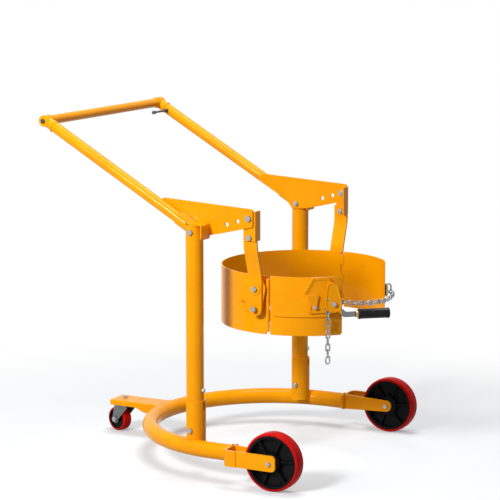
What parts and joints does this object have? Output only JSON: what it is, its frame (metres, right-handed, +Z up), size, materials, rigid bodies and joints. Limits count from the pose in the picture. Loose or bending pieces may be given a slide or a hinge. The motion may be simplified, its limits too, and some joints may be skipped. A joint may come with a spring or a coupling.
{
  "type": "drum carrier",
  "caption": "Wheeled drum carrier: bent-tube base with front wheels and a rear caster, posts, push handle, and a tilting drum saddle with hinged flaps, chain and ratchet lever.",
  "frame": {"origin": "on the floor, under the middle of the part's bounding box", "axes": "+X forward, the way the drum mouth faces; +Y to the operator's left; +Z up"},
  "size_m": [1.2148, 1.02, 1.2019],
  "materials": {
    "yellow_paint": "gloss",
    "red_tread": "satin",
    "black_hub": "satin",
    "zinc_steel": "satin",
    "chain_steel": "satin",
    "black_grip": "matte",
    "brass_ferrule": "satin"
  },
  "bodies": {
    "frame": {"base_tube": "yellow_paint", "right_wheel_fork": "yellow_paint", "left_wheel_fork": "yellow_paint", "wheel_axles": "zinc_steel", "caster_channel": "yellow_paint", "caster_kingpin": "zinc_steel", "caster_race": "zinc_steel", "right_post_socket": "yellow_paint", "left_post_socket": "yellow_paint", "right_post": "yellow_paint", "left_post": "yellow_paint", "post_bolts": "zinc_steel", "post_screws": "zinc_steel", "right_handle_arm": "yellow_paint", "left_handle_arm": "yellow_paint", "handle_bosses": "yellow_paint", "handle_crossbar": "yellow_paint", "crossbar_bolts": "zinc_steel", "right_gusset_plate": "yellow_paint", "left_gusset_plate": "yellow_paint", "right_hood_bracket": "yellow_paint", "left_hood_bracket": "yellow_paint", "stow_pin": "zinc_steel", "link_pivot_bolts": "zinc_steel"},
    "right_wheel": {"right_wheel_tyre": "red_tread", "right_wheel_hub": "black_hub", "right_wheel_bearings": "zinc_steel"},
    "left_wheel": {"left_wheel_tyre": "red_tread", "left_wheel_hub": "black_hub", "left_wheel_bearings": "zinc_steel"},
    "caster_swivel": {"caster_fork": "zinc_steel", "caster_axle": "zinc_steel"},
    "caster_wheel": {"caster_tyre": "red_tread", "caster_hub": "black_hub"},
    "links": {"right_hanger": "yellow_paint", "left_hanger": "yellow_paint", "right_link_bar": "yellow_paint", "left_link_bar": "yellow_paint", "hanger_bolts": "zinc_steel"},
    "right_lock": {"right_lock_pin": "zinc_steel"},
    "left_lock": {"left_lock_pin": "zinc_steel"},
    "saddle": {"saddle_shell": "yellow_paint", "right_trunnion_bracket": "yellow_paint", "left_trunnion_bracket": "yellow_paint", "trunnion_studs": "zinc_steel", "flap_hinge_pins": "zinc_steel"},
    "right_flap": {"right_flap": "yellow_paint", "right_flap_strap": "yellow_paint", "binder_base": "yellow_paint", "binder_pins": "zinc_steel", "chain_run": "chain_steel"},
    "left_flap": {"left_flap": "yellow_paint", "left_flap_strap": "yellow_paint", "chain_hook": "zinc_steel"},
    "chain_wheel": {"chain_wheel": "zinc_steel"},
    "pawl": {"pawl": "zinc_steel"},
    "binder_lever": {"lever_plate": "yellow_paint", "lever_grip": "black_grip", "lever_ferrule": "brass_ferrule"},
    "chain_tail": {"chain_tail": "chain_steel"}
  },
  "joints": [
    {"name": "right_wheel_spin", "type": "hinge", "parent": "frame", "child": "right_wheel", "pos_m": [0.3474, -0.464, 0.1], "axis": [0, 1, 0], "continuous": true},
    {"name": "left_wheel_spin", "type": "hinge", "parent": "frame", "child": "left_wheel", "pos_m": [0.3474, 0.464, 0.1], "axis": [0, 1, 0], "continuous": true},
    {"name": "caster_turn", "type": "hinge", "parent": "frame", "child": "caster_swivel", "pos_m": [-0.5116, 0, 0.1], "axis": [0, 0, 1], "continuous": true},
    {"name": "caster_wheel_spin", "type": "hinge", "parent": "caster_swivel", "child": "caster_wheel", "pos_m": [-0.54058, 0.00777, 0.045], "axis": [0.2588, 0.9659, 0], "continuous": true},
    {"name": "link_swing", "type": "hinge", "parent": "frame", "child": "links", "pos_m": [0.1974, 0, 0.891], "axis": [0, -1, 0], "range_deg": [-15, 45]},
    {"name": "right_lock_slide", "type": "slide", "parent": "links", "child": "right_lock", "axis": [0, 1, 0], "range_m": [0, 0.0098]},
    {"name": "left_lock_slide", "type": "slide", "parent": "links", "child": "left_lock", "axis": [0, -1, 0], "range_m": [0, 0.0098]},
    {"name": "saddle_tilt", "type": "hinge", "parent": "links", "child": "saddle", "pos_m": [0.1974, 0, 0.645], "axis": [0, 1, 0], "range_deg": [-45, 135]},
    {"name": "right_flap_swing", "type": "hinge", "parent": "saddle", "child": "right_flap", "pos_m": [0.23359, -0.29182, 0.5875], "axis": [0, 0, -1], "range_deg": [0, 30], "deforming": ["chain_run"]},
    {"name": "left_flap_swing", "type": "hinge", "parent": "saddle", "child": "left_flap", "pos_m": [0.23359, 0.29182, 0.5875], "axis": [0, 0, 1], "range_deg": [0, 30], "deforming": ["chain_run"]},
    {"name": "chain_wheel_turn", "type": "hinge", "parent": "right_flap", "child": "chain_wheel", "pos_m": [0.44194, -0.21999, 0.601], "axis": [0.6428, -0.766, 0], "continuous": true},
    {"name": "lever_stroke", "type": "hinge", "parent": "right_flap", "child": "binder_lever", "pos_m": [0.44965, -0.22919, 0.601], "axis": [0.6428, -0.766, 0], "range_deg": [0, 75]},
    {"name": "pawl_lift", "type": "hinge", "parent": "right_flap", "child": "pawl", "pos_m": [0.45582, -0.19921, 0.585], "axis": [0.6428, -0.766, 0], "range_deg": [0, 20]},
    {"name": "chain_tail_swing", "type": "hinge", "parent": "right_flap", "child": "chain_tail", "pos_m": [0.42913, -0.23074, 0.59118], "axis": [0.6428, -0.766, 0], "range_deg": [-25, 25]}
  ]
}
